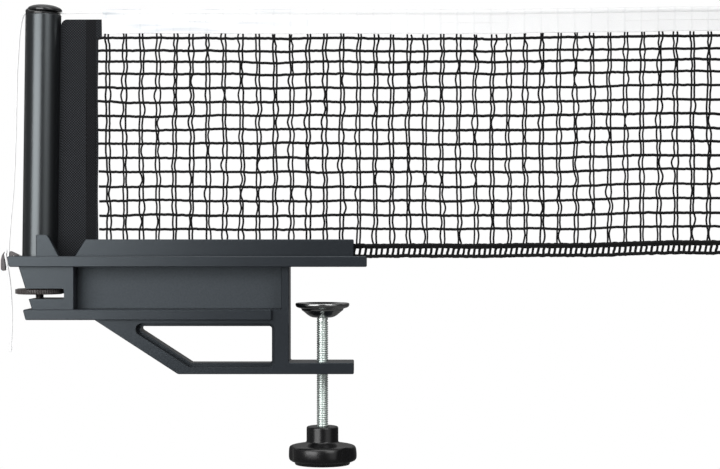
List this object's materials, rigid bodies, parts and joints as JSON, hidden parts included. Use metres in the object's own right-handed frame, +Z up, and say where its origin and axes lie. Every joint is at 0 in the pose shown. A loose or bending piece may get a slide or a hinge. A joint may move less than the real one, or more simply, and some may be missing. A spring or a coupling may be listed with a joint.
{
  "type": "table tennis net clamp",
  "caption": "Screw clamp for a table edge, with a height-adjustable net post, a hook for the tension cord, and the first stretch of the net.",
  "frame": {"origin": "point of the upper jaw's flat underside that lies on the clamp screw's axis", "axes": "+Z up, square to the table; +X along the net, towards the middle of the table; +Y across the net, away from the viewer of the picture"},
  "size_m": [0.4394, 0.04, 0.2656],
  "materials": {
    "moulding": "satin moulded surface, charcoal",
    "hook_plastic": "satin, charcoal",
    "zinc": "bright zinc plated",
    "dish_steel": "dark polished pressing with a dull brown edge",
    "knob_plastic": "glossy black",
    "brass": "machined",
    "black_steel": "blackened",
    "wheel_plastic": "black, finely toothed edge",
    "post_paint": "satin black powder coat",
    "cap_plastic": "satin black",
    "rod_steel": "bright drawn",
    "sleeve_fabric": "fine diagonal weave, black",
    "net_cord": "black twisted thread",
    "white_tape": "woven white tape",
    "white_cord": "braided white cord"
  },
  "bodies": {
    "bracket_body": {"bracket": "moulding", "cord_hook": "hook_plastic", "jaw_nut": "zinc", "height_nut": "zinc"},
    "screw_carriage": {"swivel_washer": "zinc"},
    "screw_and_knob": {"clamp_screw": "zinc", "star_knob": "knob_plastic", "knob_insert": "brass"},
    "dish": {"pressure_dish": "dish_steel"},
    "post": {"post_tube": "post_paint", "post_foot": "cap_plastic", "post_cap": "cap_plastic", "cap_button": "cap_plastic", "net_rod": "rod_steel", "net_sleeve": "sleeve_fabric", "net_mesh": "net_cord", "net_hem": "net_cord", "net_top_tape": "white_tape", "far_sleeve": "sleeve_fabric", "far_rod": "rod_steel", "tension_cord": "white_cord"},
    "height_wheel": {"thumbwheel": "wheel_plastic", "height_screw": "black_steel"}
  },
  "joints": [
    {"name": "clamp_travel", "type": "slide", "parent": "bracket_body", "child": "screw_carriage", "axis": [0, 0, 1], "range_m": [-0.02451, 0.01991]},
    {"name": "screw_turn", "type": "hinge", "parent": "screw_carriage", "child": "screw_and_knob", "pos_m": [0, 0, -0.0613], "axis": [0, 0, 1], "range_deg": [-6946, 5642]},
    {"name": "dish_swivel", "type": "hinge", "parent": "screw_carriage", "child": "dish", "pos_m": [0, 0, -0.0288], "axis": [1, 0, 0], "range_deg": [-3, 3]},
    {"name": "post_lift", "type": "slide", "parent": "bracket_body", "child": "post", "axis": [0, 0, 1], "range_m": [-0.0021, 0], "deforming": ["tension_cord"]},
    {"name": "height_turn", "type": "hinge", "parent": "post", "child": "height_wheel", "pos_m": [-0.1634, 0, -0.0144], "axis": [0, 0, 1], "range_deg": [-950, 0]}
  ],
  "couplings": [
    {"joint": "clamp_travel", "follows": "screw_turn", "m_per_rad": 0.00020213},
    {"joint": "height_turn", "follows": "post_lift", "rad_per_m": 7854}
  ]
}
